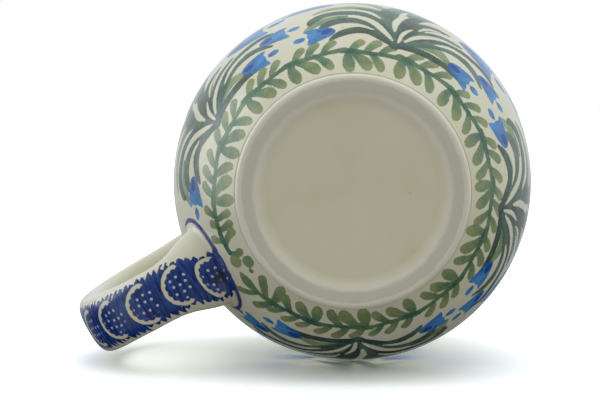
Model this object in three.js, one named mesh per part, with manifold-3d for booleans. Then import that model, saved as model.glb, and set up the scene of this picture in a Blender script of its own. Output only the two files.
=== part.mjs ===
// A Polish stoneware mug of the round "bubble" shape, in millimetres, +Z up.
// The origin is on the mug's axis, in the plane that its foot stands on, and the handle points along +X.
// The cup, its foot ring, the strap handle and the two pads of joining slip are separate clay pieces.
import * as THREE from "three";
import { ParametricGeometry } from "three/addons/geometries/ParametricGeometry.js";
import { mergeVertices } from "three/addons/utils/BufferGeometryUtils.js";
import Module from "manifold-3d";

const wasm = await Module();
wasm.setup();

// Driving dimensions of the cup.
const HEIGHT = 90;
const BELLY_RADIUS = 46;
const BELLY_HEIGHT = 43;
const RIM_RADIUS = 38;
const BELLY_WALL = 4.2;
const RIM_WALL = 3.5;
const FLOOR_HEIGHT = 7;
const FLOOR_RADIUS = 21;

// Driving dimensions of the foot, which is a low ring round a shallow dish.
const FOOT_HEIGHT = 2;
const FOOT_RADIUS = 27.9;
const FOOT_EDGE = 1.3;
const SEAT_INNER_RADIUS = 24;
const DISH_RADIUS = 20.2;
const DISH_DEPTH = 0.8;

// Driving dimensions of the joints between handle and cup.
const SLIP_THICKNESS = 2.6;
const JOINT_GAP = 0.3;

// How finely the round shapes are divided.
const TURN_STEPS = 64;
const ARC_STEPS = 9;
const EDGE_STEPS = 6;
const HANDLE_STEPS = 44;
const SECTION_STEPS = 24;

// The handle's centre line, as x and z, from inside the wall at the foot end to inside the wall at the rim end.
const HANDLE_LINE = [
  [37.5, 21.5],
  [43, 17.6],
  [50.5, 15.4],
  [60, 17],
  [68.4, 24],
  [73.2, 34.5],
  [74.3, 46.5],
  [71.8, 58.5],
  [65, 68],
  [55, 73.2],
  [45, 74.8],
  [38.5, 75.2],
];
// The strap's half width and half thickness, at equal steps along that line.
const HALF_WIDTHS = [11.8, 10.5, 7.3, 7, 7.3, 7.7, 8, 8.2, 8.3, 8.4, 9.6, 11.4];
const HALF_THICKNESSES = [9.4, 7.8, 4.5, 3.9, 4, 4.1, 4.2, 4.1, 4, 4.2, 5.8, 8];
// The strap's section there: 2 makes it an ellipse, and more makes it squarer.
const SQUARENESS = [2, 2, 2.4, 2.8, 2.8, 2.8, 2.8, 2.8, 2.8, 2.4, 2, 2];

const GLAZE = { color: 0xe4e0d0, roughness: 0.12, metalness: 0 };
const PAINTED_GLAZE = { color: 0x3f5596, roughness: 0.12, metalness: 0 };
const BARE_CLAY = { color: 0xb9b2a6, roughness: 0.75, metalness: 0 };

// Radius of the circle that is upright at (peakRadius, peakHeight) and passes through (radius, height).
function bulgeRadius(peakRadius, peakHeight, radius, height) {
  const rise = height - peakHeight;
  const inset = peakRadius - radius;
  return (rise * rise + inset * inset) / (2 * inset);
}

// Points of a circular arc, turning the short way from one angle to the other.
function arc(centreX, centreY, radius, fromAngle, toAngle, steps) {
  return new THREE.EllipseCurve(centreX, centreY, radius, radius, fromAngle, toAngle, fromAngle > toAngle)
    .getPoints(steps);
}

// Points of the upright circle's arc between two heights, in the order given.
function bulge(peakRadius, peakHeight, circleRadius, fromHeight, toHeight) {
  const angleAt = (height) => Math.asin((height - peakHeight) / circleRadius);
  return arc(peakRadius - circleRadius, peakHeight, circleRadius, angleAt(fromHeight), angleAt(toHeight), ARC_STEPS);
}

// The cup's outside from its joint with the foot up to the lip. grow moves it outwards.
function outsideProfile(grow) {
  const lipHeight = HEIGHT - RIM_WALL / 2;
  const belly = BELLY_RADIUS + grow;
  const lower = bulgeRadius(BELLY_RADIUS, BELLY_HEIGHT, FOOT_RADIUS + 0.3, FOOT_HEIGHT) + grow;
  const upper = bulgeRadius(BELLY_RADIUS, BELLY_HEIGHT, RIM_RADIUS, lipHeight) + grow;
  return [
    ...bulge(belly, BELLY_HEIGHT, lower, FOOT_HEIGHT, BELLY_HEIGHT),
    ...bulge(belly, BELLY_HEIGHT, upper, BELLY_HEIGHT, lipHeight).slice(1),
  ];
}

// The cup's inside from the lip down to the rounded corner at the floor.
function insideProfile() {
  const lipHeight = HEIGHT - RIM_WALL / 2;
  const belly = BELLY_RADIUS - BELLY_WALL;
  const upper = bulgeRadius(belly, BELLY_HEIGHT, RIM_RADIUS - RIM_WALL, lipHeight);
  const cornerHeight = FLOOR_HEIGHT + 2;
  const lower = bulgeRadius(belly, BELLY_HEIGHT, FLOOR_RADIUS + 4, cornerHeight);
  return [
    ...bulge(belly, BELLY_HEIGHT, upper, lipHeight, BELLY_HEIGHT),
    ...bulge(belly, BELLY_HEIGHT, lower, BELLY_HEIGHT, cornerHeight).slice(1),
  ];
}

// The half-round lip, from outside over to inside.
function lipProfile() {
  const lip = RIM_WALL / 2;
  return arc(RIM_RADIUS - lip, HEIGHT - lip, lip, 0, Math.PI, EDGE_STEPS).slice(1, -1);
}

// Turns a profile of (radius, height) points round the mug's axis.
function turned(points) {
  return new THREE.LatheGeometry(points, TURN_STEPS).rotateX(Math.PI / 2);
}

// The cup, with a plug under its floor that fills the middle of the foot ring down to the shallow dish.
function cupBody() {
  const plugRadius = DISH_RADIUS - JOINT_GAP;
  return turned([
    new THREE.Vector2(0, DISH_DEPTH),
    new THREE.Vector2(plugRadius, DISH_DEPTH),
    new THREE.Vector2(plugRadius, FOOT_HEIGHT),
    ...outsideProfile(0),
    ...lipProfile(),
    ...insideProfile(),
    new THREE.Vector2(FLOOR_RADIUS, FLOOR_HEIGHT),
    new THREE.Vector2(0, FLOOR_HEIGHT),
  ]);
}

// The foot ring: a flat standing face, with a rounded outer edge and a slope up into the dish.
function footRing() {
  const edge = arc(FOOT_RADIUS - FOOT_EDGE, FOOT_EDGE, FOOT_EDGE, -Math.PI / 2, 0, EDGE_STEPS);
  return turned([
    new THREE.Vector2(DISH_RADIUS, FOOT_HEIGHT),
    new THREE.Vector2(DISH_RADIUS, DISH_DEPTH),
    new THREE.Vector2(SEAT_INNER_RADIUS, 0),
    ...edge,
    new THREE.Vector2(FOOT_RADIUS, FOOT_HEIGHT),
    new THREE.Vector2(DISH_RADIUS, FOOT_HEIGHT),
  ]);
}

// A value read from an evenly spaced list at t from 0 to 1, eased between its entries.
function along(values, t) {
  const place = Math.min(t * (values.length - 1), values.length - 1.000001);
  const step = Math.floor(place);
  return THREE.MathUtils.lerp(values[step], values[step + 1], THREE.MathUtils.smoothstep(place - step, 0, 1));
}

// A rounded-square wave: the cosine or sine of a superellipse.
function squared(wave, squareness) {
  return Math.sign(wave) * Math.abs(wave) ** (2 / squareness);
}

// The whole strap with its spread ends, running on into the wall at both ends.
function handleBlank() {
  const line = new THREE.CatmullRomCurve3(HANDLE_LINE.map(([x, z]) => new THREE.Vector3(x, 0, z)), false, "centripetal");
  const place = (u, v, target) => {
    // The first and last rows are drawn in to a point, which closes the ends.
    const capped = u < 0.5 / HANDLE_STEPS || u > 1 - 0.5 / HANDLE_STEPS;
    const t = THREE.MathUtils.clamp((u * HANDLE_STEPS - 1) / (HANDLE_STEPS - 2), 0, 1);
    const heading = line.getTangent(t);
    const size = capped ? 0 : 1;
    const angle = v * 2 * Math.PI;
    const squareness = along(SQUARENESS, t);
    const out = squared(Math.sin(angle), squareness) * along(HALF_THICKNESSES, t) * size;
    target.copy(line.getPoint(t));
    target.x += heading.z * out;
    target.z -= heading.x * out;
    target.y = squared(Math.cos(angle), squareness) * along(HALF_WIDTHS, t) * size;
  };
  return new ParametricGeometry(place, HANDLE_STEPS, SECTION_STEPS);
}

// The cup without its hollow, grown outwards, to cut or trim what meets its wall.
function grownCup(grow) {
  return turned([new THREE.Vector2(0, FOOT_HEIGHT), ...outsideProfile(grow), new THREE.Vector2(0, HEIGHT)]);
}

// A closed solid for joining and cutting, made from a geometry.
function toSolid(geometry) {
  const bare = new THREE.BufferGeometry().setAttribute("position", geometry.getAttribute("position"));
  bare.setIndex(geometry.getIndex());
  const merged = mergeVertices(bare, 1e-3);
  const mesh = new wasm.Mesh({
    numProp: 3,
    vertProperties: merged.getAttribute("position").array,
    triVerts: new Uint32Array(merged.getIndex().array),
  });
  return new wasm.Manifold(mesh);
}

// A geometry for showing, made from a closed solid.
function toGeometry(solid) {
  const mesh = solid.getMesh();
  const geometry = new THREE.BufferGeometry();
  geometry.setAttribute("position", new THREE.BufferAttribute(mesh.vertProperties, 3));
  geometry.setIndex(new THREE.BufferAttribute(mesh.triVerts, 1));
  geometry.computeVertexNormals();
  return geometry;
}

const group = new THREE.Group();

// Adds one named piece to the mug.
function addPiece(name, geometry, finish) {
  const mesh = new THREE.Mesh(geometry, new THREE.MeshStandardMaterial(finish));
  mesh.name = name;
  group.add(mesh);
}

addPiece("cup_body", cupBody(), GLAZE);
addPiece("foot_ring", footRing(), BARE_CLAY);

// The strap stops short of the wall, and a pad of slip fills the space that is left at each end.
const blank = toSolid(handleBlank());
const slipTop = SLIP_THICKNESS + JOINT_GAP;
const strap = blank.subtract(toSolid(grownCup(slipTop + JOINT_GAP)));
addPiece("handle", toGeometry(strap), PAINTED_GLAZE);

const pads = blank.intersect(toSolid(grownCup(slipTop))).subtract(toSolid(grownCup(JOINT_GAP)));
for (const pad of pads.decompose()) {
  const name = pad.boundingBox().min[2] < BELLY_HEIGHT ? "lower_handle_slip" : "upper_handle_slip";
  addPiece(name, toGeometry(pad), GLAZE);
}

export default group;
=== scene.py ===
# %% [markdown]
# # A hand-stamped stoneware mug
# The mug is a round cup on a turned foot ring, with a pulled strap handle that is luted on with slip.
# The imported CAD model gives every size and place. These cells make the fine surfaces round it: cream
# glaze, a garland of leaves round the foot, grass with bell flowers, and blue scales along the handle.

# %% Load the frame
import math

import bmesh
import bpy
import numpy as np
from mathutils import Matrix, Vector


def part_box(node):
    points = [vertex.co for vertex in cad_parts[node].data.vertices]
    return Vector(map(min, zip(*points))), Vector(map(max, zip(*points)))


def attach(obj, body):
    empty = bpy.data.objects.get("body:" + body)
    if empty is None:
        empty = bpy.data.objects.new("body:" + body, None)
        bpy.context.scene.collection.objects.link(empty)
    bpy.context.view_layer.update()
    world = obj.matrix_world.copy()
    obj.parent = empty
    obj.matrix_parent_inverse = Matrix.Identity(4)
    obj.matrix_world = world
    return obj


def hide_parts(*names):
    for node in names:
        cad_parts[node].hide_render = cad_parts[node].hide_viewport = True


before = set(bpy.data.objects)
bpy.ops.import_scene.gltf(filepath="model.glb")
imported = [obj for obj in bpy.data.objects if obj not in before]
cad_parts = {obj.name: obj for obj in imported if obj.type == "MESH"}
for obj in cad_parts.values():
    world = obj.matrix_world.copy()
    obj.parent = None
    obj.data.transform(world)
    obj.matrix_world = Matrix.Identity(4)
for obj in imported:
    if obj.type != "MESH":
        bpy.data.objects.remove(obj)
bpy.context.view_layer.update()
MM = 0.001

# %% [markdown]
# ## Camera
# The mug lies on its side with its foot to the lens, so the camera looks up along the mug's axis.
# A long lens keeps the belly and the foot nearly the same scale. The lens's place is worked out the
# other way round: first where the mug's axis and handle lie in the camera's view, then the inverse.

# %% Camera
LENS = 109.6
FOOT_IN_VIEW = Vector((12.43, 1.81, -430)) * MM
AXIS_IN_VIEW = Vector((0.0233, 0.0689, -0.997)).normalized()
HANDLE_TURN = math.radians(60.7)

handle_in_view = Vector((-math.sin(HANDLE_TURN), -math.cos(HANDLE_TURN), 0))
handle_in_view = (handle_in_view - AXIS_IN_VIEW * handle_in_view.dot(AXIS_IN_VIEW)).normalized()
side_in_view = AXIS_IN_VIEW.cross(handle_in_view)
mug_to_view = Matrix((handle_in_view, side_in_view, AXIS_IN_VIEW)).transposed().to_4x4()
mug_to_view.translation = FOOT_IN_VIEW

camera_data = bpy.data.cameras.new("camera")
camera_data.lens = LENS
camera_data.sensor_width = 36
camera_data.clip_start = 0.01
camera_data.clip_end = 20
camera = bpy.data.objects.new("camera", camera_data)
camera.matrix_world = mug_to_view.inverted()
bpy.context.scene.collection.objects.link(camera)
bpy.context.scene.camera = camera
print("camera at", [round(v, 3) for v in camera.matrix_world.translation])

# %% [markdown]
# ## Helpers for materials
# Colours are written as hex numbers, as a painter's chart gives them, and turned to linear light.
# One function adds a node, fills in its settings and joins its inputs, so a material reads as a list.


# %% Material helpers
def linear(hex_colour):
    """An sRGB hex colour as linear red, green, blue and alpha."""
    channels = [int(hex_colour[i:i + 2], 16) / 255 for i in (0, 2, 4)]
    return (*[c / 12.92 if c <= 0.04045 else ((c + 0.055) / 1.055) ** 2.4 for c in channels], 1)


def add(tree, kind, inputs=None, **settings):
    """Adds a node with its settings. inputs gives each input's value, or the node or output that feeds it."""
    node = tree.nodes.new("ShaderNode" + kind)
    for name, value in settings.items():
        setattr(node, name, value)
    for key, value in (inputs or {}).items():
        if isinstance(value, bpy.types.Node):
            value = next(output for output in value.outputs if output.enabled)
        if isinstance(value, bpy.types.NodeSocket):
            tree.links.new(value, node.inputs[key])
        else:
            node.inputs[key].default_value = value
    return node


def new_material(name):
    """A material with an empty tree."""
    material = bpy.data.materials.new(name)
    material.use_nodes = True
    material.node_tree.nodes.clear()
    return material, material.node_tree


# %% [markdown]
# ## Floor, backdrop and light
# The mug is shown lying on a white table, which the belly and the handle's outer corner all but touch.
# A second white sheet lies under the foot, for views of the standing mug. Only the camera sees the two
# sheets, and their backs are clear, so they catch shadows and never hide or light the mug. The light
# comes from the directions round it: bright on both sides and from above, dim from the side of the
# lens, and dim from below where the table would be. The foot's side is a little warm. Two broad lamps
# add a soft shadow. Glossy rays also meet one soft window, for a gentle shine on the belly.

# %% Stage
foot_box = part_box("foot_ring")
cup_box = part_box("cup_body")
handle_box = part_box("handle")
BELLY_R = cup_box[1].x / MM
down = Vector((math.cos(HANDLE_TURN), -math.sin(HANDLE_TURN), 0))


def white_sheet(name, white, glow):
    """A matt white sheet with a clear back and a little glow, which only the camera sees."""
    material, tree = new_material(name)
    seen = add(tree, "LightPath").outputs["Is Camera Ray"]
    unseen = add(tree, "Math", {0: 1.0, 1: seen}, operation="SUBTRACT")
    back = add(tree, "NewGeometry").outputs["Backfacing"]
    hidden = add(tree, "Math", {0: back, 1: unseen}, operation="MAXIMUM")
    matt = add(tree, "BsdfDiffuse", {"Color": (white, white, white, 1)})
    shine = add(tree, "Emission", {"Strength": add(tree, "Math", {0: seen, 1: glow}, operation="MULTIPLY")})
    front = add(tree, "AddShader", {0: matt, 1: shine})
    sheet = add(tree, "MixShader", {0: hidden, 1: front, 2: add(tree, "BsdfTransparent")})
    add(tree, "OutputMaterial", {"Surface": sheet})
    return material


def sheet_mesh(name, normal, centre, size, material):
    """A flat square sheet facing along normal."""
    bm = bmesh.new()
    bmesh.ops.create_grid(bm, x_segments=1, y_segments=1, size=size / 2)
    turn = normal.to_track_quat("Z", "Y").to_matrix().to_4x4()
    bmesh.ops.transform(bm, matrix=Matrix.Translation(centre) @ turn, verts=bm.verts)
    mesh = bpy.data.meshes.new(name)
    bm.to_mesh(mesh)
    bm.free()
    mesh.materials.append(material)
    sheet = bpy.data.objects.new(name, mesh)
    bpy.context.scene.collection.objects.link(sheet)
    return sheet


TABLE_GAP = 0.25
SHEET_SIZE = 6
table_centre = down * (BELLY_R + TABLE_GAP) * MM
sheet_mesh("table", -down, table_centre, SHEET_SIZE, white_sheet("table_white", 1.5, 0.0))
sheet_mesh("shelf", Vector((0, 0, 1)), Vector((0, 0, 0)), SHEET_SIZE, white_sheet("shelf_white", 0.9, 0.55))
print("table is", TABLE_GAP, "mm off the belly, facing", [round(v, 2) for v in -down])

# %% Light from all round
world = bpy.data.worlds.new("studio")
bpy.context.scene.world = world
world.use_nodes = True
world.node_tree.nodes.clear()
sky = world.node_tree
rays = add(sky, "LightPath")
way = add(sky, "TexCoord").outputs["Generated"]
height = add(sky, "VectorMath", {0: way, 1: -down}, operation="DOT_PRODUCT").outputs["Value"]
forward = add(sky, "SeparateXYZ", {0: way}).outputs["Z"]
bounce = add(sky, "MapRange", {"Value": forward, "From Min": -0.25, "From Max": 0.15, "To Min": 1.0,
                               "To Max": 0.0})
over_rim = add(sky, "MapRange", {"Value": forward, "From Min": 0.15, "From Max": 0.6, "To Max": 0.6})
matt_only = add(sky, "Math", {0: 1.0, 1: rays.outputs["Is Glossy Ray"]}, operation="SUBTRACT")
over_rim = add(sky, "Math", {0: over_rim, 1: matt_only}, operation="MULTIPLY")
straight_down = add(sky, "MapRange", {"Value": height, "From Min": -0.9, "From Max": -0.5})
bounce = add(sky, "Math", {0: bounce, 1: straight_down}, operation="MULTIPLY")
bounce = add(sky, "Math", {0: bounce, 1: over_rim}, operation="MAXIMUM")
from_table = add(sky, "MapRange", {"Value": height, "From Min": -0.5, "From Max": 0.1, "To Min": bounce,
                                   "To Max": 1.0},
                 interpolation_type="SMOOTHSTEP")
open_sky = add(sky, "MapRange", {"Value": forward, "From Min": -0.95, "From Max": -0.4},
               interpolation_type="SMOOTHSTEP")
from_room = add(sky, "MapRange", {"Value": open_sky, "To Min": 0.27, "To Max": 1.0})
around_it = add(sky, "Math", {0: from_table, 1: from_room}, operation="MULTIPLY")
shine = add(sky, "MapRange", {"Value": rays.outputs["Is Glossy Ray"], "To Min": 1.0, "To Max": 0.75})
around_it = add(sky, "Math", {0: around_it, 1: shine}, operation="MULTIPLY")
window_way = Vector((0.7, 0.7, 0.15)).normalized()
window = add(sky, "VectorMath", {0: way, 1: window_way}, operation="DOT_PRODUCT").outputs["Value"]
window = add(sky, "MapRange", {"Value": window, "From Min": 0.84, "From Max": 0.97, "To Max": 1.8},
             interpolation_type="SMOOTHSTEP")
window = add(sky, "Math", {0: window, 1: rays.outputs["Is Glossy Ray"]}, operation="MULTIPLY")
around_it = add(sky, "Math", {0: around_it, 1: window}, operation="ADD")
strength = add(sky, "Mix", {0: rays.outputs["Is Camera Ray"], 2: around_it, 3: 1.0})
hue = add(sky, "Mix", {0: open_sky, 6: linear("FFF4E0"), 7: linear("F4FBFF")}, data_type="RGBA")
hue = add(sky, "Mix", {0: rays.outputs["Is Camera Ray"], 6: hue, 7: linear("FFFFFF")}, data_type="RGBA")
glow = add(sky, "Background", {"Color": hue, "Strength": strength})
add(sky, "OutputWorld", {"Surface": glow})
print("the world has", len(sky.nodes), "nodes")

# %% Lamps
def soft_lamp(name, towards, strength, spread):
    """A broad distant lamp that shines along towards."""
    data = bpy.data.lights.new(name, "SUN")
    data.energy = strength
    data.angle = math.radians(spread)
    lamp = bpy.data.objects.new(name, data)
    lamp.visible_glossy = False
    lamp.rotation_mode = "QUATERNION"
    lamp.rotation_quaternion = towards.to_track_quat("-Z", "Y")
    bpy.context.scene.collection.objects.link(lamp)


soft_lamp("lamp_above_table", down + Vector((0, 0, 0.05)), 0.4, 50)
soft_lamp("lamp_over_rim", down - Vector((0, 0, 0.9)), 0.15, 40)

bpy.context.scene.view_settings.view_transform = "Standard"
print("lamps:", [light.name for light in bpy.data.lights])

# %% [markdown]
# ## The shape of the cup
# A cup is thrown or cast in the round, so its whole surface is one outline turned about an axis.
# The outline is drawn in millimetres from a few driving sizes: the belly, the lip and the foot. Each
# side of the belly is one circular arc. Turning it with spin gives clean rings, fine enough to carry
# the painted decoration as values on the points.

# %% Cup outline
BELLY_Z = 43
RIM_R = 38
RIM_Z = cup_box[1].z / MM
WALL = 4.2
LIP_WALL = 3.5
FLOOR_Z = 7
FLOOR_R = 21
FOOT_R = foot_box[1].x / MM
FOOT_Z = foot_box[1].z / MM
DISH_R = 20.2
DISH_Z = cup_box[0].z / MM
SEAT_R = 24


def arc(centre, radius, start, end, steps):
    """Points of a circular arc from one angle to another, both ends included."""
    angles = np.linspace(start, end, steps + 1)
    return [(centre[0] + radius * math.cos(a), centre[1] + radius * math.sin(a)) for a in angles]


def bulge_radius(peak, through):
    """Radius of the circle that is upright at its outermost point and passes through another."""
    rise = through[1] - peak[1]
    inset = peak[0] - through[0]
    return (rise * rise + inset * inset) / (2 * inset)


def bulge(peak, radius, low, high, steps):
    """The arc of a belly between two heights, in the order given."""
    ends = [math.asin((z - peak[1]) / radius) for z in (low, high)]
    return arc((peak[0] - radius, peak[1]), radius, *ends, steps)


lip_z = RIM_Z - LIP_WALL / 2
outer_peak = (BELLY_R, BELLY_Z)
inner_peak = (BELLY_R - WALL, BELLY_Z)
LOWER_R = bulge_radius(outer_peak, (FOOT_R + 0.3, FOOT_Z))
UPPER_R = bulge_radius(outer_peak, (RIM_R, lip_z))
outer_side = (bulge(outer_peak, LOWER_R, FOOT_Z, BELLY_Z, 76)
              + bulge(outer_peak, UPPER_R, BELLY_Z, lip_z, 74)[1:])
lip = arc((RIM_R - LIP_WALL / 2, lip_z), LIP_WALL / 2, 0, math.pi, 10)[1:-1]
inner_side = (bulge(inner_peak, bulge_radius(inner_peak, (RIM_R - LIP_WALL, lip_z)), lip_z, BELLY_Z, 9)
              + bulge(inner_peak, bulge_radius(inner_peak, (FLOOR_R + 4, FLOOR_Z + 2)), BELLY_Z,
                      FLOOR_Z + 2, 9)[1:])
corner = arc((FLOOR_R - 1, FLOOR_Z + 7), 7, -0.6, -math.pi / 2, 5)[1:]
PLUG_R = DISH_R - 0.01
cup_outline = ([(0, DISH_Z), (DISH_R / 2, DISH_Z), (PLUG_R, DISH_Z), (PLUG_R, FOOT_Z)]
               + outer_side + lip + inner_side + corner + [(FLOOR_R * 0.5, FLOOR_Z), (0, FLOOR_Z)])
print("cup outline has", len(cup_outline), "points; arcs of", round(LOWER_R, 1), "and", round(UPPER_R, 1),
      "mm")


# %% Turning an outline
def turned(name, outline, steps):
    """A closed solid: the outline of radius and height in mm, turned a full circle about Z.
    Each point keeps how far along the outline it is, in mm, as the value "along"."""
    bm = bmesh.new()
    layer = bm.verts.layers.float.new("along")
    verts = [bm.verts.new((r * MM, 0, z * MM)) for r, z in outline]
    for vert, before in zip(verts[1:], verts):
        vert[layer] = before[layer] + (vert.co - before.co).length / MM
    edges = [bm.edges.new(pair) for pair in zip(verts, verts[1:])]
    bmesh.ops.spin(bm, geom=verts + edges, cent=(0, 0, 0), axis=(0, 0, 1), angle=math.tau,
                   steps=steps, use_merge=True, use_normal_flip=False, use_duplicate=False)
    bmesh.ops.remove_doubles(bm, verts=bm.verts, dist=1e-7)
    bmesh.ops.recalc_face_normals(bm, faces=bm.faces)
    return as_piece(name, bm)


def as_piece(name, bm):
    """Makes the finished bmesh an object that rides on the mug's one body."""
    for face in bm.faces:
        face.smooth = True
    mesh = bpy.data.meshes.new(name)
    bm.to_mesh(mesh)
    bm.free()
    mesh.set_sharp_from_angle(angle=math.radians(40))
    piece = bpy.data.objects.new(name, mesh)
    bpy.context.scene.collection.objects.link(piece)
    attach(piece, "root")
    triangles = sum(len(face.vertices) - 2 for face in mesh.polygons)
    print(name, "has", triangles, "triangles")
    return piece


def points_of(piece):
    """The piece's points in mm, as three arrays."""
    flat = np.zeros(len(piece.data.vertices) * 3)
    piece.data.vertices.foreach_get("co", flat)
    return flat.reshape(-1, 3).T / MM


def read_values(piece, name):
    """A value that each point keeps, as an array."""
    values = np.zeros(len(piece.data.vertices))
    piece.data.attributes[name].data.foreach_get("value", values)
    return values


def keep_values(piece, **values):
    """Keeps arrays on the piece's points, one value each, for its material to read."""
    for name, array in values.items():
        layer = piece.data.attributes.get(name) or piece.data.attributes.new(name, "FLOAT", "POINT")
        layer.data.foreach_set("value", np.asarray(array, np.float32))


def lay_out(piece, across, around):
    """A UV map for baking: across runs from 0 to 1, and around is an angle that closes on itself."""
    mesh = piece.data
    corners = np.zeros(len(mesh.loops), np.int32)
    mesh.loops.foreach_get("vertex_index", corners)
    face_of = np.repeat(np.arange(len(mesh.polygons)), [len(face.vertices) for face in mesh.polygons])
    turn = (around[corners] / math.tau) % 1
    highest = np.zeros(len(mesh.polygons))
    np.maximum.at(highest, face_of, turn)
    turn += (highest[face_of] - turn > 0.5)
    layer = mesh.uv_layers.new(name="OFBake")
    layer.data.foreach_set("uv", np.column_stack([turn / 1.01, across[corners]]).ravel())


cup = turned("glazed_cup", cup_outline, 480)
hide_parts("cup_body")
cup_x, cup_y, cup_z = points_of(cup)
cup_along = read_values(cup, "along")
lay_out(cup, cup_along / cup_along.max() * 0.99, np.arctan2(cup_y, cup_x))

# %% [markdown]
# ## The foot ring
# The foot is turned on the wheel once the clay is leather hard. Its standing face is wiped clean of
# glaze, so that the mug doesn't stick to the kiln shelf: a bare matt band between a bead of glaze
# outside and the shallow glazed dish inside. Its outline is turned in the same way as the cup's.

# %% Foot ring
EDGE = 1.3
SLOPE_START = DISH_R + 0.25
slope = [(SLOPE_START + (SEAT_R - SLOPE_START) * t, DISH_Z * (1 - t * t * (3 - 2 * t)))
         for t in np.linspace(0.15, 1, 7)]
foot_outline = ([(DISH_R, FOOT_Z), (DISH_R, DISH_Z), (SLOPE_START, DISH_Z)]
                + slope
                + arc((FOOT_R - EDGE, EDGE), EDGE, -math.pi / 2, 0, 9)
                + [(FOOT_R, FOOT_Z - 0.35), (FOOT_R - 0.12, FOOT_Z - 0.1), (FOOT_R - 0.35, FOOT_Z),
                   (DISH_R, FOOT_Z)])
foot = turned("turned_foot_ring", foot_outline, 240)
foot_x, foot_y, foot_z = points_of(foot)
foot_along = read_values(foot, "along")
lay_out(foot, foot_along / foot_along.max() * 0.99, np.arctan2(foot_y, foot_x))
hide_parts("foot_ring")

# %% [markdown]
# ## The handle
# A strap handle is pulled from a tapering roll of wet clay, bent, and stuck to the cup with slip. The
# strap here follows the same centre line as the CAD handle. Its section is a superellipse: squarer
# along the strap and rounder at the roots. Close to the wall the section grows by a quarter circle,
# which is the smoothed slip. A flat grid is bent into the tube, and one surface is shared by three
# pieces, so their joins don't show: each keeps the true normals of the whole.

# %% Handle surface
HANDLE_LINE = [(37.5, 21.5), (43, 17.6), (50.5, 15.4), (60, 17), (68.4, 24), (73.2, 34.5), (74.3, 46.5),
               (71.8, 58.5), (65, 68), (55, 73.2), (45, 74.8), (38.5, 75.2)]
HALF_WIDTHS = [10.8, 9.7, 7.3, 7, 7.3, 7.7, 8, 8.2, 8.3, 8.4, 9.2, 10.6]
HALF_THICKNESSES = [8.2, 6.9, 4.5, 3.9, 4, 4.1, 4.2, 4.1, 4, 4.2, 5.4, 7.2]
SQUARENESS = [2, 2, 2.4, 2.8, 2.8, 2.8, 2.8, 2.8, 2.8, 2.4, 2, 2]
FILLET = 1.5


def smooth(points, places):
    """A smooth (Catmull-Rom) curve through rows of values, read at places from 0 to 1."""
    points = np.asarray(points, float)
    ends = 2 * points[0] - points[1], 2 * points[-1] - points[-2]
    padded = np.vstack([ends[0], points, ends[1]])
    where = np.clip(np.asarray(places) * (len(points) - 1), 0, len(points) - 1 - 1e-9)
    step = where.astype(int)
    u = (where - step)[:, None]
    a, b, c, d = (padded[step + i] for i in range(4))
    return b + 0.5 * u * (c - a + u * (2 * a - 5 * b + 4 * c - d + u * (3 * (b - c) + d - a)))


def wall_distance(x, y, z):
    """How far points are outside the cup's wall, in mm."""
    radius = np.where(z < BELLY_Z, LOWER_R, UPPER_R)
    return np.hypot(np.hypot(x, y) - (BELLY_R - radius), z - BELLY_Z) - radius


def strap(t, angle):
    """Points of the handle's surface, in mm, at places t along it and angles round its section."""
    sizes = np.column_stack([HALF_WIDTHS, HALF_THICKNESSES, SQUARENESS])
    centre = smooth(HANDLE_LINE, t)
    heading = smooth(HANDLE_LINE, t + 1e-4) - smooth(HANDLE_LINE, t - 1e-4)
    heading /= np.linalg.norm(heading, axis=1)[:, None]
    half_width, half_thick, squareness = smooth(sizes, t).T
    power = 2 / squareness
    side = np.sign(np.cos(angle)) * np.abs(np.cos(angle)) ** power * half_width
    out = np.sign(np.sin(angle)) * np.abs(np.sin(angle)) ** power * half_thick
    flat = centre[:, 0] + heading[:, 1] * out, side, centre[:, 1] - heading[:, 0] * out
    near = np.clip(FILLET - wall_distance(*flat), 0, FILLET)
    grow = 1 + (FILLET - np.sqrt(FILLET ** 2 - near ** 2)) / np.hypot(side, out)
    return np.column_stack([centre[:, 0] + heading[:, 1] * out * grow, side * grow,
                            centre[:, 1] - heading[:, 0] * out * grow])


def places_where(low, high, start, end):
    """The places on the handle's line, between start and end, where it leaves the wall by low and high mm."""
    t = np.linspace(start, end, 4000)
    line = smooth(HANDLE_LINE, t)
    distance = wall_distance(line[:, 0], np.zeros(len(t)), line[:, 1])
    return [t[np.argmin(np.abs(distance - d))] for d in (low, high)]


lower_in, lower_out = places_where(-2.4, 4.5, 0.0, 0.3)
upper_in, upper_out = places_where(-2.4, 4.5, 1.0, 0.7)
line_steps = smooth(HANDLE_LINE, np.linspace(lower_in, upper_in, 2000))
line_length = np.hypot(*np.diff(line_steps, axis=0).T).sum()
print("handle places", [round(float(v), 3) for v in (lower_in, lower_out, upper_out, upper_in)],
      "line", round(float(line_length), 1), "mm")


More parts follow.
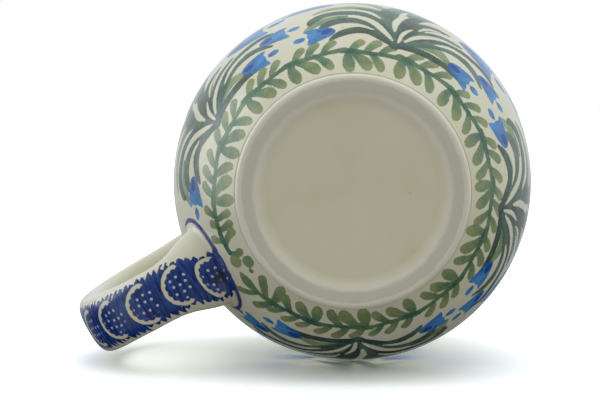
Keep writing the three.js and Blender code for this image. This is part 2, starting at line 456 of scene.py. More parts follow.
# %% Handle pieces
def tube(name, start, end, rows, columns=112):
    """One stretch of the handle as a closed piece, bent from a flat grid."""
    bm = bmesh.new()
    bmesh.ops.create_grid(bm, x_segments=rows, y_segments=columns, size=1)
    flat = np.array([vert.co for vert in bm.verts])
    t = start + (end - start) * (flat[:, 0] + 1) / 2
    angle = -math.pi / 2 + math.pi * (flat[:, 1] + 1)
    place = strap(t, angle)
    along = strap(t + 1e-4, angle) - strap(t - 1e-4, angle)
    round_it = strap(t, angle + 1e-3) - strap(t, angle - 1e-3)
    normals = np.cross(round_it, along)
    normals /= np.linalg.norm(normals, axis=1)[:, None]
    if (normals * (place - strap(t, angle + math.pi))).sum() < 0:
        normals = -normals
    normal_layer = bm.verts.layers.float_vector.new("true_normal")
    place_layer = bm.verts.layers.float.new("place")
    angle_layer = bm.verts.layers.float.new("angle")
    for i, vert in enumerate(bm.verts):
        vert.co = place[i] * MM
        vert[normal_layer] = normals[i]
        vert[place_layer] = t[i]
        vert[angle_layer] = angle[i]
    bmesh.ops.remove_doubles(bm, verts=bm.verts, dist=1e-7)
    rims = [edge for edge in bm.edges if edge.is_boundary]
    bmesh.ops.holes_fill(bm, edges=rims, sides=0)
    bmesh.ops.recalc_face_normals(bm, faces=bm.faces)
    piece = as_piece(name, bm)
    kept = np.zeros(len(piece.data.vertices) * 3)
    piece.data.attributes["true_normal"].data.foreach_get("vector", kept)
    piece.data.normals_split_custom_set_from_vertices(kept.reshape(-1, 3))
    piece.data.attributes.remove(piece.data.attributes["true_normal"])
    lay_out(piece, (read_values(piece, "place") - start) / (end - start) * 0.99, read_values(piece, "angle"))
    return piece


strap_piece = tube("pulled_strap", lower_out, upper_out, 300)
lower_root = tube("lower_root_slip", lower_in, lower_out, 48)
upper_root = tube("upper_root_slip", upper_out, upper_in, 48)
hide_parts("handle")
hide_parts("lower_handle_slip")
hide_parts("upper_handle_slip")

# %% [markdown]
# ## Painting the cup
# The decoration is stamped and brushed on the bare clay with small sponges, under the glaze. Here each
# stroke is a smooth path with a width, drawn on the wall laid flat: x is mm round the wall at a radius
# of 40 mm, and y is mm up along the wall from the foot. For each colour the mesh keeps how far a point
# is outside the nearest stroke, so that the material can draw a clean edge with a little unevenness.

# %% Paint layers
DRAWN_R = 40
FAR = 4.0
foot_joint = cup_along[(cup_z < FOOT_Z + 0.01) & (np.hypot(cup_x, cup_y) > FOOT_R)].min()
wall_up = cup_along - foot_joint
wall_round = np.arctan2(cup_y, cup_x)
lip_up = wall_up[cup_z > RIM_Z - 0.01].min()
painted = np.where((wall_up >= -1) & (wall_up < lip_up))[0]
print("wall is", round(float(lip_up), 1), "mm from foot to lip;", len(painted), "points can be painted")
layers = {name: np.full(len(cup_x), FAR) for name in ("leaf", "stem", "grass", "sprig", "bell", "navy",
                                                      "ring", "slit")}
tones = {name: np.full(len(cup_x), 0.5) for name in layers}
rng = np.random.default_rng(7)


def round_from(angle):
    """How far the painted points are round the wall from an angle in degrees, in mm as drawn."""
    turn = wall_round[painted] - math.radians(angle)
    return ((turn + math.pi) % math.tau - math.pi) * DRAWN_R


def stroke(layer, angle, height, points, widths, tone=(0.0, 1.0), flip=1):
    """One stroke. points are mm from (angle, height), widths are half widths, tone runs along it."""
    path = smooth(np.column_stack([points, widths]), np.linspace(0, 1, 5 * len(points) - 4))
    path[:, 1] = path[:, 1] * flip + height
    x, y = round_from(angle), wall_up[painted]
    low, high = path[:, :2].min(0) - FAR / 2 - 2, path[:, :2].max(0) + FAR / 2 + 2
    near = (x > low[0]) & (x < high[0]) & (y > low[1]) & (y < high[1])
    spot = np.column_stack([x[near], y[near]])
    best = layers[layer][painted[near]]
    tint = tones[layer][painted[near]]
    for i, (a, b) in enumerate(zip(path, path[1:])):
        run = b[:2] - a[:2]
        t = np.clip((spot - a[:2]) @ run / max(run @ run, 1e-9), 0, 1)
        away = np.hypot(*(spot - a[:2] - t[:, None] * run).T) - (a[2] + (b[2] - a[2]) * t)
        closer = away < best
        best = np.where(closer, away, best)
        tint = np.where(closer, tone[0] + (tone[1] - tone[0]) * (i + t) / (len(path) - 1), tint)
    layers[layer][painted[near]] = best
    tones[layer][painted[near]] = tint


def dab(layer, angle, height, centre, size, tone=0.5, lean=0.0):
    """A short oval touch of the sponge."""
    reach = np.array([math.cos(lean), math.sin(lean)]) * max(size[0] - size[1], 0.01)
    stroke(layer, angle, height, [np.subtract(centre, reach), centre, np.add(centre, reach)], [size[1]] * 3,
           (tone, tone))


# %% [markdown]
# ## The garland
# One stamp is set down fourteen times round the foot. It has a stretch of stem, three long leaves that
# point at the foot and three short ones that lean the other way. The painter sets it by hand, so each
# print is a little nearer or further from the last. The same garland, turned over, closes the rim.

# %% Garland
STEM_UP = 7.6
PRINT_STEP = 16.2
LONG_LEAVES = [([(0.2, 0), (-0.3, -2.4), (0, -4.6), (0.2, -5.8)], [0.9, 1.4, 2.05, 1.75]),
               ([(1.2, -0.2), (3.2, -1.9), (5.4, -4.0), (6.4, -5.2)], [0.8, 1.2, 1.95, 1.7]),
               ([(6.9, -0.2), (8.6, -1.9), (10.2, -3.9), (11.0, -5.2)], [0.8, 1.1, 1.6, 1.4])]
SHORT_LEAVES = [([(1.0, 0.4), (2.4, 2.3), (3.7, 3.7)], [0.8, 1.25, 1.4]),
                ([(5.2, 0.4), (6.8, 2.5), (8.1, 4.0)], [0.8, 1.3, 1.45]),
                ([(9.8, 0.4), (11.4, 2.3), (12.8, 3.6)], [0.75, 1.2, 1.35])]


def garland_print(angle, height, flip):
    """One print of the garland stamp."""
    sway = rng.normal(0, 0.22)
    size = rng.normal(1, 0.05)
    stem = [(-1.5, 0.3), (1.5, 0.1), (6, -0.5), (11, -0.15), (PRINT_STEP, 0.3)]
    stroke("stem", angle, height + sway, stem, [1.0, 0.95, 0.75, 0.75, 1.0],
           (rng.uniform(0, 0.3), rng.uniform(0.3, 0.8)), flip)
    for points, widths in LONG_LEAVES + SHORT_LEAVES:
        shift = np.array([rng.normal(0, 0.25), 0])
        leaf = [np.array(p) * (1, size) + shift for p in points]
        start = 0.25 if points[-1][1] > 0 else 0.0
        stroke("leaf", angle, height + sway, leaf, np.multiply(widths, size), (start, rng.uniform(0.8, 1)),
               flip)


foot_prints = [2.1, 14.8, 25.1, 47.5, 70.3, 93, 117, 140.5, 164.3, 186.5, 206.7, 227.3, 249.7, 272.8, 293.8,
               315.4, 334.6]
for angle in foot_prints[2:-1]:
    garland_print(angle, STEM_UP, 1)
for step in range(18):
    garland_print(step * 20 + 4, lip_up - 9.2, -1)
print("garland:", len(foot_prints) - 3, "prints round the foot and 18 round the rim")

# The garland starts and ends at the handle, where the painter closes it with loose leaves and a tip.
for angle, leaf in [(2.1, [(0, -0.5), (-1.2, -2.6), (-0.9, -4.2)]),
                    (5.5, [(0, -0.3), (2.2, -2.4), (3.4, -4.6)]),
                    (12, [(0, 0), (0.9, -2.6), (1.6, -4.6)]), (16.5, [(0, -0.2), (1.2, -2.6), (1.9, -4.6)]),
                    (7.5, [(0, 0.4), (0.9, 2.4), (1.2, 3.6)]), (14, [(0, 0.4), (0.6, 1.4), (0.9, 2.2)]),
                    (18, [(0, 0.4), (1.5, 2.4), (2.2, 3.6)])]:
    stroke("leaf", angle, STEM_UP, leaf, [0.7, 1.1, 1.35], (0.1, 0.9))
stroke("stem", 2, STEM_UP, [(0, -0.4), (5, 0.1), (11, 0.2), (16.5, 0)], [0.8, 0.9, 0.8, 0.9], (0, 0.4))
stroke("stem", 334.6, STEM_UP, [(-1, 0), (3, 0.3), (6.5, 0.2)], [1.0, 0.8, 0.7], (0.2, 0.7))
for leaf in [([(0.1, 0), (-0.2, -3), (0.3, -6)], [0.9, 1.5, 1.8]),
             ([(2.6, -0.5), (5.0, -3), (7.2, -4.9)], [0.9, 1.4, 1.5]),
             ([(0.3, 0.6), (1.6, 3.2), (3.0, 5.4)], [1.0, 1.2, 1.3]),
             ([(5.2, 0.6), (6.8, 3.2), (9.0, 5.4)], [0.8, 1.0, 1.1]),
             ([(6.0, 0.3), (9.5, 0.4), (12.6, 0.2)], [0.9, 1.7, 0.5])]:
    stroke("leaf", 334.6, STEM_UP, *leaf, (0.1, 0.8))
dab("leaf", 350.5, STEM_UP, (0.3, -3.8), (0.9, 0.75), 0.5)
dab("leaf", 354.3, STEM_UP, (0.6, -5.0), (2.1, 1.9), 0.6)
dab("leaf", 356.7, STEM_UP, (0.8, -0.8), (1.9, 2.1), 0.7)

# %% [markdown]
# ## Grass and bell flowers
# Four clumps of long grass stand on the garland. Every blade is a stroke that springs from one root and
# bends over under its own weight. Between the blades the clay is left bare in thin slits, which are
# strokes taken away from the grass. Blue bells hang from the tips, each with its clapper as a loose dab.

# %% Grass clumps
CLUMPS = [(55, 12.7), (135.5, 12.0), (216.3, 12.3), (296.9, 13.4)]
BLADES = [([(0, 0), (-3.4, 1.9), (-7.2, 4.4), (-10.6, 4.6), (-14.2, 3.2), (-17.0, 1.0)],
           [0.9, 1.0, 1.15, 1.2, 1.0, 0.45]),
          ([(0, 0), (-2.9, 3.4), (-6.3, 7.2), (-10.4, 9.8), (-14.4, 10.1), (-17.6, 8.6), (-20.0, 5.9)],
           [0.9, 1.2, 1.3, 1.3, 1.3, 1.1, 0.4]),
          ([(0, 0), (-1.6, 4.3), (-4.0, 9.8), (-7.4, 13.4), (-12, 15.4), (-17.4, 15.2), (-20.7, 12.6),
            (-21.6, 10.6)],
           [1.0, 1.4, 1.4, 1.3, 1.3, 1.2, 1.0, 0.4]),
          ([(0, 0), (-2.0, 7), (-3.0, 14.4), (-2.2, 21.6), (0.4, 28), (3.5, 33), (7, 36)],
           [1.3, 1.8, 1.7, 1.5, 1.3, 1.1, 0.4]),
          ([(0.3, 0), (1.1, 8), (1.6, 14.4), (3.6, 21), (6.4, 26), (9.5, 29.5)],
           [1.0, 1.7, 1.7, 1.5, 1.2, 0.4]),
          ([(-1.2, 5), (-3.4, 11.5), (-6.6, 16.6), (-10.4, 19.4)], [1.2, 1.3, 1.1, 0.5]),
          ([(0.5, 1), (2.5, 8), (4.6, 13.9), (7.8, 18.2), (11.4, 20.3)], [1.0, 1.4, 1.4, 1.2, 0.5]),
          ([(0.5, 1), (4.0, 6.6), (7.6, 11.6), (11.4, 15.2), (14.9, 17.1)], [1.0, 1.3, 1.2, 1.0, 0.5]),
          ([(0.8, 1), (4.3, 5.3), (9.1, 10.4), (14.4, 13.7), (20.2, 15.1), (24, 15.0), (26.4, 14.0)],
           [0.9, 1.0, 1.0, 1.0, 0.95, 0.85, 0.4]),
          ([(0.8, 0.5), (3.8, 3.2), (8.2, 6.5), (12, 9.4), (16.3, 10.6), (21.0, 9.7), (25.0, 6.8)],
           [0.9, 1.1, 1.2, 1.25, 1.15, 0.95, 0.4]),
          ([(0.6, 0), (4.8, 0.9), (9.6, 1.6), (15.0, 1.8), (19.0, 1.0)], [0.8, 0.95, 1.05, 0.95, 0.45])]
SPRIGS = [([(-12.8, 12.6), (-16.8, 11.6), (-20.6, 9.4), (-23.2, 7.0)], [0.5, 1.15, 1.15, 0.5]),
          ([(2.6, 1.6), (7.2, 4.4), (11.0, 5.4), (15.2, 3.6)], [0.5, 1.3, 1.5, 0.8]),
          ([(-2.6, 14), (-6.0, 18.0), (-11, 20.0), (-16.4, 19.4), (-20.2, 17.4)],
           [0.9, 1.35, 1.35, 1.2, 0.5]),
          ([(-2.4, 18), (-6.0, 24.0), (-10, 26.6), (-13.4, 27.0)], [0.8, 1.2, 1.1, 0.5]),
          ([(2.2, 20), (3.0, 27.0), (6.0, 33.0), (11, 37)], [0.9, 1.3, 1.2, 0.5])]
SLITS = [([(-0.9, 1.9), (-3.4, 5.2), (-6.8, 9.8), (-11, 12.5), (-15.6, 13.0)], [0.25, 0.7, 0.85, 0.75, 0.3]),
         ([(-6.2, 5.3), (-9.4, 6.9), (-12.6, 7.4), (-16.3, 6.4)], [0.25, 0.6, 0.65, 0.3]),
         ([(-4.6, 12.4), (-8.0, 16.4), (-12, 17.7), (-15.5, 17.5)], [0.25, 0.7, 0.6, 0.3]),
         ([(-0.9, 6.6), (-1.0, 11.6), (0.5, 17.6), (3.2, 22.5)], [0.3, 0.72, 0.6, 0.2]),
         ([(0.7, 1.6), (1.3, 6.4), (3.2, 10.8)], [0.3, 0.48, 0.2]),
         ([(2.2, 2.9), (5.4, 8.0), (10.4, 13.0), (15.4, 15.7)], [0.3, 0.65, 0.55, 0.3]),
         ([(4.6, 11.2), (6.6, 15.4), (9.6, 18.4)], [0.2, 0.42, 0.2]),
         ([(9.7, 8.2), (13.5, 11.4), (19, 12.9), (23.4, 12.4)], [0.25, 0.65, 0.6, 0.3])]
BELLS = [(-18.6, 4.2, -1, 1.0, 0.0), (17.6, 3.5, 1, 1.0, 0.0), (25.2, 10.4, 1, 0.95, 0.05),
         (18.4, 21.6, 1, 1.4, 0.0), (-19.5, 26.4, -1, 1.35, 0.35), (-8.4, 33.5, -1, 1.1, 0.6),
         (13, 34.5, 1, 1.15, 0.3)]


def turned_by(points, side, size, tilt, x, y):
    """Places a small shape: mirrored to a side, scaled, tilted and moved."""
    shape = np.array(points) * (side * size, size)
    c, s = math.cos(tilt * side), math.sin(tilt * side)
    return shape @ np.array([[c, s], [-s, c]]) + (x, y)


def bell(angle, height, x, y, side, size, tilt):
    """A blue bell with its mouth to one side: a round cap, two points and a loose clapper."""
    parts = [("bell", [(-0.9, 0.3), (0.6, 0.1), (2.2, -0.1)], [2.0, 2.75, 2.35]),
             ("bell", [(0.8, 1.0), (3.0, 1.9), (5.0, 2.7)], [1.8, 1.3, 0.3]),
             ("bell", [(0.8, -1.0), (3.0, -2.2), (4.7, -3.8)], [1.9, 1.45, 0.35]),
             ("bell", [(5.9, -0.5), (6.7, -0.5), (7.5, -0.4)], [0.85, 1.15, 0.85]),
             ("navy", [(-1.4, 0.8), (-0.4, 0.5), (0.5, 0.3)], [0.8, 1.15, 0.4])]
    for layer, points, widths in parts:
        stroke(layer, angle, height, turned_by(points, side, size, tilt, x, y), np.multiply(widths, size),
               (0.2, rng.uniform(0.7, 1)))


for angle, height in CLUMPS:
    grow = rng.normal(1, 0.02)
    for points, widths in SPRIGS:
        stroke("sprig", angle, height, np.multiply(points, grow), np.multiply(widths, 1.2),
               (0.1, rng.uniform(0.7, 1)))
    for number, (points, widths) in enumerate(BLADES):
        lightness = rng.uniform(0, 0.15) + 0.45 * (number % 2)
        sway = rng.normal(0, 0.18, 2)
        blade = np.multiply(points, grow) + np.linspace(0, 1, len(points))[:, None] * sway
        stroke("grass", angle, height, blade, np.multiply(widths, 1.32),
               (lightness, lightness + rng.uniform(0.1, 0.4)))
    for points, widths in SLITS:
        stroke("slit", angle, height, np.multiply(points, grow), np.multiply(widths, 1.2))
    for x, y, side, size, tilt in BELLS:
        bell(angle, height, x * grow, y, side, size, tilt)
layers["grass"] = np.maximum(layers["grass"], -layers["slit"])

# %% [markdown]
# ## Above the belly
# Higher on the wall the grass thins to a few stems, and bells nod from them between the clumps and the
# garland at the rim. A thin band of green is run on with a brush while the mug turns on a wheel.

# %% Upper flowers and the rim line
for angle, height in CLUMPS:
    for x, y, side, size, tilt in [(-9.5, 50, -1, 1.0, 0.5), (9.8, 54, 1, 1.0, 0.4), (22, 44, 1, 0.9, 0.3),
                                   (-22, 41, -1, 0.9, 0.3)]:
        foot_of_stem = (0.25 * x, 30)
        bend = (0.45 * x, y - 1.5)
        stroke("sprig", angle, height, [foot_of_stem, bend, (x * 0.8, y + 1.6), (x, y)],
               [0.8, 0.8, 0.65, 0.45], (0.1, 0.8))
        bell(angle, height, x + side * 0.8, y - 1.6, side, size, -tilt)
    for x, y in [(-17, 36), (17.5, 40), (0, 45), (33, 30), (-33, 33)]:
        dab("bell", angle, height, (x, y), (1.2, 0.9), 0.6, rng.uniform(-0.6, 0.6))
layers["stem"][painted] = np.minimum(layers["stem"][painted],
                                     np.abs(wall_up[painted] - (lip_up - 1.9)) - 0.55)

# The brushed ring round the handle's lower root, a little outside the slip, open towards the rim.
around = np.linspace(0, math.tau, 97)
edge = np.array([strap(np.linspace(lower_in, lower_out, 120), np.full(120, a)) for a in around])
reach = np.abs(wall_distance(*np.moveaxis(edge, 2, 0)))
outline = edge[np.arange(len(around)), reach.argmin(1)]
up_of = np.interp(outline[:, 2], *(values[painted][np.argsort(cup_z[painted])] for values in (cup_z,
                                                                                              wall_up)))
round_of = np.arctan2(outline[:, 1], outline[:, 0]) * DRAWN_R
root_ring = np.column_stack([round_of, up_of])
ring_centre = root_ring.mean(0)
outward = (root_ring - ring_centre) / np.linalg.norm(root_ring - ring_centre, axis=1)[:, None]
root_ring += outward * 0.35
opening = ring_centre[1] + 5.5
below = root_ring[root_ring[:, 1] < opening]
below = below[np.argsort(np.arctan2(below[:, 0] - ring_centre[0], ring_centre[1] - below[:, 1]))]
stroke("ring", 0, 0, below, np.linspace(0.5, 0.75, len(below)))
print("handle root spans", [round(float(v), 1) for v in (*root_ring.min(0), *root_ring.max(0))],
      "mm on the wall")

keep_values(cup, **{"paint_" + name: array for name, array in layers.items() if name != "slit"},
            **{"tone_" + name: tones[name] for name in ("leaf", "stem", "grass", "sprig", "bell")})

# %% [markdown]
# ## Glaze and underglaze paint
# Stoneware glaze is a glassy coat about 0.2 mm thick over a cream clay. It's clear and hard, so it gives
# a sharp reflection (roughness 0.08, IOR 1.5) and the colours lie beneath it. It pools a little,
# so the surface waves gently. The sponge leaves the paint mottled, thin at its edges and dark where a
# print starts. Grain of about 0.5 mm stands for the sponge's pores.

# %% Glaze material
CREAM = "DFDAC0"
PAINTS = {"leaf": ("41705A", "8F9A66"), "stem": ("38644F", "6D8A5C"), "sprig": ("587C5C", "98A87A"),
          "grass": ("1F3D35", "557565"), "bell": ("125BA6", "3F95D4"), "navy": ("1A3A86", "2A5CA8"),
          "ring": ("17287A", "2C469E")}
EDGE_SOFT = 0.16
COVER = 0.95
GLOSS = 0.08
LUMPY = 0.6
PER_MM = 1 / MM


def uneven_clay(tree):
    """Cream clay under clear glaze, a little warmer and cooler in patches, with a few iron specks."""
    place = add(tree, "TexCoord").outputs["Object"]
    patches = add(tree, "TexNoise", {"Vector": place, "Scale": PER_MM / 18, "Detail": 2.0,
                                     "Roughness": LUMPY})
    tint = add(tree, "MapRange", {"Value": patches, "From Min": 0.35, "From Max": 0.65})
    cream = add(tree, "Mix", {0: tint, 6: linear(CREAM), 7: linear("E2DFCA")}, data_type="RGBA")
    cells = add(tree, "TexVoronoi", {"Vector": place, "Scale": PER_MM / 5.5})
    rare = add(tree, "SeparateColor", {0: cells.outputs["Color"]})
    small = add(tree, "MapRange", {"Value": cells.outputs["Distance"], "From Min": 0.035, "From Max": 0.06,
                                   "To Min": 0.55, "To Max": 0.0})
    some = add(tree, "Math", {0: rare.outputs[0], 1: 0.86}, operation="GREATER_THAN")
    speck = add(tree, "Math", {0: small, 1: some}, operation="MULTIPLY")
    return add(tree, "Mix", {0: speck, 6: cream, 7: linear("6B5A45")}, data_type="RGBA")


def glaze_shader(tree, colour):
    """A clear glassy coat over the colour, gently uneven."""
    place = add(tree, "TexCoord").outputs["Object"]
    waves = add(tree, "TexNoise", {"Vector": place, "Scale": PER_MM / 9, "Detail": 1.0, "Roughness": LUMPY})
    ripple = add(tree, "TexNoise", {"Vector": place, "Scale": PER_MM / 1.4, "Detail": 2.0,
                                    "Roughness": LUMPY})
    height = add(tree, "Math", {0: ripple, 1: 0.06, 2: waves}, operation="MULTIPLY_ADD")
    bump = add(tree, "Bump", {"Strength": 1.0, "Distance": 0.00022, "Height": height})
    return add(tree, "BsdfPrincipled", {"Base Color": colour, "Roughness": GLOSS, "IOR": 1.5, "Normal": bump})


def lay_paint(tree, under, name, grain, lumps):
    """Lays one underglaze colour over what is under it, where its strokes are."""
    field = add(tree, "Attribute", attribute_name="paint_" + name).outputs["Fac"]
    shaky = add(tree, "Math", {0: grain, 1: 0.5, 2: field}, operation="MULTIPLY_ADD")
    shaky = add(tree, "Math", {0: shaky, 1: 0.25}, operation="SUBTRACT")
    cover = add(tree, "MapRange", {"Value": shaky, "From Min": -EDGE_SOFT, "From Max": EDGE_SOFT,
                                   "To Min": COVER, "To Max": 0.0}, interpolation_type="SMOOTHSTEP")
    dark, light = (linear(colour) for colour in PAINTS[name])
    if name in ("navy", "ring"):
        tone = lumps
    else:
        tone = add(tree, "Attribute", attribute_name="tone_" + name).outputs["Fac"]
        tone = add(tree, "Math", {0: lumps, 1: 1.7, 2: tone}, operation="MULTIPLY_ADD")
        tone = add(tree, "Math", {0: tone, 1: 0.85}, operation="SUBTRACT")
    mottle = add(tree, "MapRange", {"Value": grain, "From Min": 0.3, "From Max": 0.7, "To Min": -0.22,
                                    "To Max": 0.22})
    tone = add(tree, "Math", {0: tone, 1: mottle}, operation="ADD", use_clamp=True)
    colour = add(tree, "Mix", {0: tone, 6: dark, 7: light}, data_type="RGBA")
    return add(tree, "Mix", {0: cover, 6: under, 7: colour}, data_type="RGBA")


glazed, tree = new_material("painted_glazed_stoneware")
place = add(tree, "TexCoord").outputs["Object"]
grain = add(tree, "TexNoise", {"Vector": place, "Scale": PER_MM / 0.55, "Detail": 3.0, "Roughness": LUMPY})
lumps = add(tree, "TexNoise", {"Vector": place, "Scale": PER_MM / 4, "Detail": 2.0, "Roughness": LUMPY})
colour = uneven_clay(tree)
for name in ("leaf", "stem", "sprig", "grass", "bell", "navy", "ring"):
    colour = lay_paint(tree, colour, name, grain, lumps)
add(tree, "OutputMaterial", {"Surface": glaze_shader(tree, colour)})
cup.data.materials.append(glazed)
print(glazed.name, "has", len(tree.nodes), "nodes and", len(PAINTS), "paints")

# %% [markdown]
# ## Bare foot
# The standing face is fired clay with no glaze: matt and gritty, with grains of about 0.35 mm. The
# glaze stops on both sides of it in a soft edge. From the dish's slope outwards the glaze colour is
# painted lighter and whiter, a painted highlight for the slope and the bead that catch the light.
# Distance from the axis tells them apart.

# %% Foot material
SHEEN_PAINTED_FROM = (21.6 * MM, 23.6 * MM)
CLAY_FROM = (23.4 * MM, 24.6 * MM)
CLAY_TO = (26.5 * MM, 26.9 * MM)
WOBBLE = 0.9 * MM
bare, tree = new_material("wiped_stoneware_foot")
place = add(tree, "TexCoord").outputs["Object"]
flat = add(tree, "VectorMath", {0: place, 1: (1, 1, 0)}, operation="MULTIPLY")
radius = add(tree, "VectorMath", {0: flat}, operation="LENGTH").outputs["Value"]
wobble = add(tree, "TexNoise", {"Vector": place, "Scale": PER_MM / 3, "Detail": 2.0, "Roughness": LUMPY})
radius = add(tree, "Math", {0: wobble, 1: WOBBLE, 2: radius}, operation="MULTIPLY_ADD")
inner = add(tree, "MapRange", {"Value": radius, "From Min": CLAY_FROM[0], "From Max": CLAY_FROM[1]},
            interpolation_type="SMOOTHSTEP")
outer = add(tree, "MapRange", {"Value": radius, "From Min": CLAY_TO[0], "From Max": CLAY_TO[1], "To Min": 1,
                               "To Max": 0},
            interpolation_type="SMOOTHSTEP")
clay_mask = add(tree, "Math", {0: inner, 1: outer}, operation="MULTIPLY")
grit = add(tree, "TexNoise", {"Vector": place, "Scale": PER_MM / 0.35, "Detail": 3.0, "Roughness": LUMPY})
clay = add(tree, "Mix", {0: grit, 6: linear("C6C4B6"), 7: linear("DDDBCD")}, data_type="RGBA")
# Painted highlight: outwards from the dish's slope, the glaze colour is mixed towards a light, cool white.
# This stands in for the slope and the bead catching the light.
painted_sheen = add(tree, "MapRange", {"Value": radius, "From Min": SHEEN_PAINTED_FROM[0], "From Max": SHEEN_PAINTED_FROM[1]},
            interpolation_type="SMOOTHSTEP")
painted_sheen = add(tree, "Math", {0: painted_sheen, 1: 0.45}, operation="MULTIPLY")
glaze_with_painted_sheen = add(tree, "Mix", {0: painted_sheen, 6: uneven_clay(tree), 7: linear("EFEEE6")}, data_type="RGBA")
colour = add(tree, "Mix", {0: clay_mask, 6: glaze_with_painted_sheen, 7: clay}, data_type="RGBA")
gritty = add(tree, "Bump", {"Strength": 0.7, "Distance": 0.00006, "Height": grit})
matt = add(tree, "BsdfPrincipled", {"Base Color": colour, "Roughness": 0.7, "IOR": 1.5, "Normal": gritty})
mixed = add(tree, "MixShader", {0: clay_mask, 1: glaze_shader(tree, colour), 2: matt})
add(tree, "OutputMaterial", {"Surface": mixed})
foot.data.materials.append(bare)
print(bare.name, "is clay from", CLAY_FROM[0] / MM, "to", CLAY_TO[1] / MM, "mm from the axis")

# %% [markdown]
# ## The handle's blue scales
# Along the outer face of the strap runs a chain of round scales. Each is a navy disc of dots with a
# cream crescent left bare round one side, and short dabs fringe both edges. The pattern follows
# the strap, so each point keeps its place along the strap and across its outer face, in mm.

# %% Handle coordinates
SCALE_STEP = 10.6
SCALES_AT = [-8, 3.5, 11.4, 21.7, 33.0, 44, 55, 66, 77, 88, 99, 110, 121]
handle_pieces = [strap_piece, lower_root, upper_root]
table_t = np.linspace(lower_in, upper_in, 600)
table_line = strap(table_t, np.full(600, math.pi / 2))
start = np.argmin(np.abs(wall_distance(*table_line.T)[:100]))
table_run = np.concatenate([[0], np.cumsum(np.linalg.norm(np.diff(table_line, axis=0), axis=1))])
table_run -= table_run[start]
for piece in handle_pieces:
    t = read_values(piece, "place")
    angle = read_values(piece, "angle")
    x, y, z = points_of(piece)
    run = np.interp(t, table_t, table_run)
    lean = 2.4 * np.clip((10 - run) / 6.5, 0, 1)
    scale_place = np.interp(run, SCALES_AT, np.arange(len(SCALES_AT)) * SCALE_STEP)
    keep_values(piece, strap_along=run, strap_scale=scale_place, strap_across=y + lean,
                strap_out=np.sin(angle), strap_wall=wall_distance(x, y, z))
print("outer face is", round(float(table_run[-1]), 1), "mm long from root to root")

# %% Handle material
scaled, tree = new_material("blue_scaled_glazed_stoneware")
along = add(tree, "Attribute", attribute_name="strap_along").outputs["Fac"]
across = add(tree, "Attribute", attribute_name="strap_across").outputs["Fac"]
out = add(tree, "Attribute", attribute_name="strap_out").outputs["Fac"]
wall = add(tree, "Attribute", attribute_name="strap_wall").outputs["Fac"]
place = add(tree, "TexCoord").outputs["Object"]
wander = add(tree, "TexNoise", {"Vector": place, "Scale": PER_MM / 2.2, "Detail": 2.0, "Roughness": LUMPY})
fine = add(tree, "TexNoise", {"Vector": place, "Scale": PER_MM / 0.5, "Detail": 2.0, "Roughness": LUMPY})
scale_place = add(tree, "Attribute", attribute_name="strap_scale").outputs["Fac"]
from_first = add(tree, "Math", {0: scale_place, 1: SCALE_STEP / 2}, operation="ADD")
in_cell = add(tree, "Math", {0: from_first, 1: SCALE_STEP}, operation="FLOORED_MODULO")
local = add(tree, "Math", {0: in_cell, 1: SCALE_STEP / 2}, operation="SUBTRACT")
spot = add(tree, "CombineXYZ", {0: local, 1: across, 2: 0.0})
spread = add(tree, "VectorMath", {0: spot}, operation="LENGTH").outputs["Value"]
turn = add(tree, "Math", {0: across, 1: local}, operation="ARCTAN2")

# The crescent lies between two circles and thins out towards its horns. Small bumps scallop its inside.
bumps = add(tree, "Math", {0: turn, 1: 7.5}, operation="MULTIPLY")
bumps = add(tree, "Math", {0: bumps}, operation="SINE")
bumps = add(tree, "Math", {0: bumps}, operation="ABSOLUTE")
inside = add(tree, "Math", {0: bumps, 1: 0.38, 2: 4.0}, operation="MULTIPLY_ADD")
inside = add(tree, "Math", {0: spread, 1: inside}, operation="SUBTRACT")
shaken = add(tree, "Math", {0: wander, 1: 0.5, 2: 5.05}, operation="MULTIPLY_ADD")
outside = add(tree, "Math", {0: shaken, 1: spread}, operation="SUBTRACT")
band = add(tree, "Math", {0: inside, 1: outside}, operation="MINIMUM")
horns = add(tree, "Math", {0: turn}, operation="ABSOLUTE")
horns = add(tree, "MapRange", {"Value": horns, "From Min": 1.7, "From Max": 2.3, "To Min": 0.0,
                               "To Max": -1.2})
band = add(tree, "Math", {0: band, 1: horns}, operation="ADD")
crescent = add(tree, "MapRange", {"Value": band, "From Min": -0.08, "From Max": 0.14},
               interpolation_type="SMOOTHSTEP")

# Dots sit in a loose lattice inside the disc.
lattice = add(tree, "CombineXYZ", {0: along, 1: across, 2: 0.0})
dots = add(tree, "TexVoronoi", {"Vector": lattice, "Scale": 0.52, "Randomness": 0.32},
           voronoi_dimensions="2D")
dot = add(tree, "MapRange", {"Value": dots.outputs["Distance"], "From Min": 0.14, "From Max": 0.23,
                             "To Min": 1, "To Max": 0},
          interpolation_type="SMOOTHSTEP")
in_disc = add(tree, "MapRange", {"Value": spread, "From Min": 3.4, "From Max": 3.8, "To Min": 1, "To Max": 0})
dot = add(tree, "Math", {0: dot, 1: in_disc}, operation="MULTIPLY")

# The fringe: both edges of the band are a row of short slanted dabs.
off_middle = add(tree, "Math", {0: across}, operation="ABSOLUTE")
slanted = add(tree, "Math", {0: off_middle, 1: 0.25, 2: along}, operation="MULTIPLY_ADD")
slanted = add(tree, "Math", {0: wander, 1: 2.4, 2: slanted}, operation="MULTIPLY_ADD")
teeth = add(tree, "Math", {0: slanted, 1: 1.75}, operation="MULTIPLY")
teeth = add(tree, "Math", {0: teeth}, operation="SINE")
teeth = add(tree, "Math", {0: teeth}, operation="ABSOLUTE")
teeth = add(tree, "Math", {0: teeth, 1: 1.1, 2: 4.2}, operation="MULTIPLY_ADD")
teeth = add(tree, "Math", {0: wander, 1: 3.0, 2: teeth}, operation="MULTIPLY_ADD")
teeth = add(tree, "Math", {0: teeth, 1: off_middle}, operation="SUBTRACT")
teeth = add(tree, "Math", {0: fine, 1: 0.4, 2: teeth}, operation="MULTIPLY_ADD")
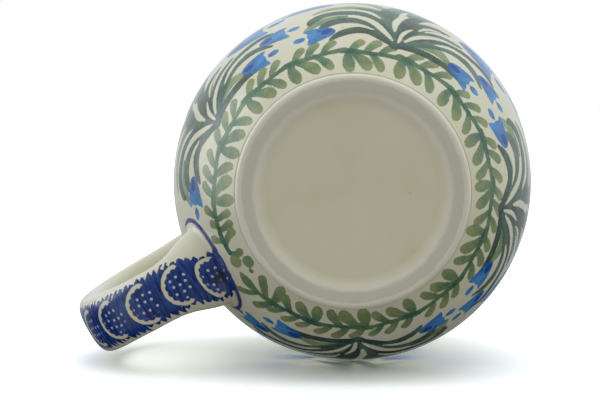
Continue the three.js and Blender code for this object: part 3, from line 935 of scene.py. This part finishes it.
inked = add(tree, "MapRange", {"Value": teeth, "From Min": 0.55, "From Max": 0.85},
            interpolation_type="SMOOTHSTEP")
face_on = add(tree, "MapRange", {"Value": out, "From Min": 0.05, "From Max": 0.2})
inked = add(tree, "Math", {0: inked, 1: face_on}, operation="MULTIPLY")
bare_line = add(tree, "Math", {0: 1.0, 1: crescent}, operation="SUBTRACT")
inked = add(tree, "Math", {0: inked, 1: bare_line}, operation="MULTIPLY")

# The navy is brushed across the strap, so it's streaked that way, and blotched where it pooled.
streak_place = add(tree, "CombineXYZ", {0: along, 1: add(tree, "Math", {0: across, 1: 0.18},
                                                         operation="MULTIPLY"), 2: 0.0})
streaks = add(tree, "TexNoise", {"Vector": streak_place, "Scale": 1.3, "Detail": 3.0, "Roughness": 0.65})
streaks = add(tree, "MapRange", {"Value": streaks, "From Min": 0.36, "From Max": 0.68})
navy = add(tree, "Mix", {0: streaks, 6: linear("101D5C"), 7: linear("3059AA")}, data_type="RGBA")
navy = add(tree, "Mix", {0: dot, 6: navy, 7: linear("BFCCE0")}, data_type="RGBA")
pool = add(tree, "VectorMath", {0: lattice, 1: (2.0, -0.8, 0)}, operation="DISTANCE").outputs["Value"]
pool = add(tree, "Math", {0: wander, 1: 1.6, 2: pool}, operation="MULTIPLY_ADD")
pool = add(tree, "MapRange", {"Value": pool, "From Min": 1.6, "From Max": 3.4, "To Min": 0.8,
                              "To Max": 0.0}, interpolation_type="SMOOTHSTEP")
navy = add(tree, "Mix", {0: pool, 6: navy, 7: linear("0B1130")}, data_type="RGBA")
colour = add(tree, "Mix", {0: inked, 6: uneven_clay(tree), 7: navy}, data_type="RGBA")

# The ring that is brushed round the lower root ends on the slip, on the side of the foot.
RING_TOP = (23.5 * MM, 25.5 * MM)
low = add(tree, "SeparateXYZ", {0: place}).outputs["Z"]
low = add(tree, "MapRange", {"Value": low, "From Min": RING_TOP[0], "From Max": RING_TOP[1], "To Min": 1,
                             "To Max": 0})
ring = add(tree, "MapRange", {"Value": wall, "From Min": 0.05, "From Max": 0.3, "To Min": 1, "To Max": 0})
ring = add(tree, "Math", {0: ring, 1: low}, operation="MULTIPLY")
colour = add(tree, "Mix", {0: ring, 6: colour, 7: linear("22337E")}, data_type="RGBA")
add(tree, "OutputMaterial", {"Surface": glaze_shader(tree, colour)})
for piece in handle_pieces:
    piece.data.materials.append(scaled)
print(scaled.name, "has", len(tree.nodes), "nodes")
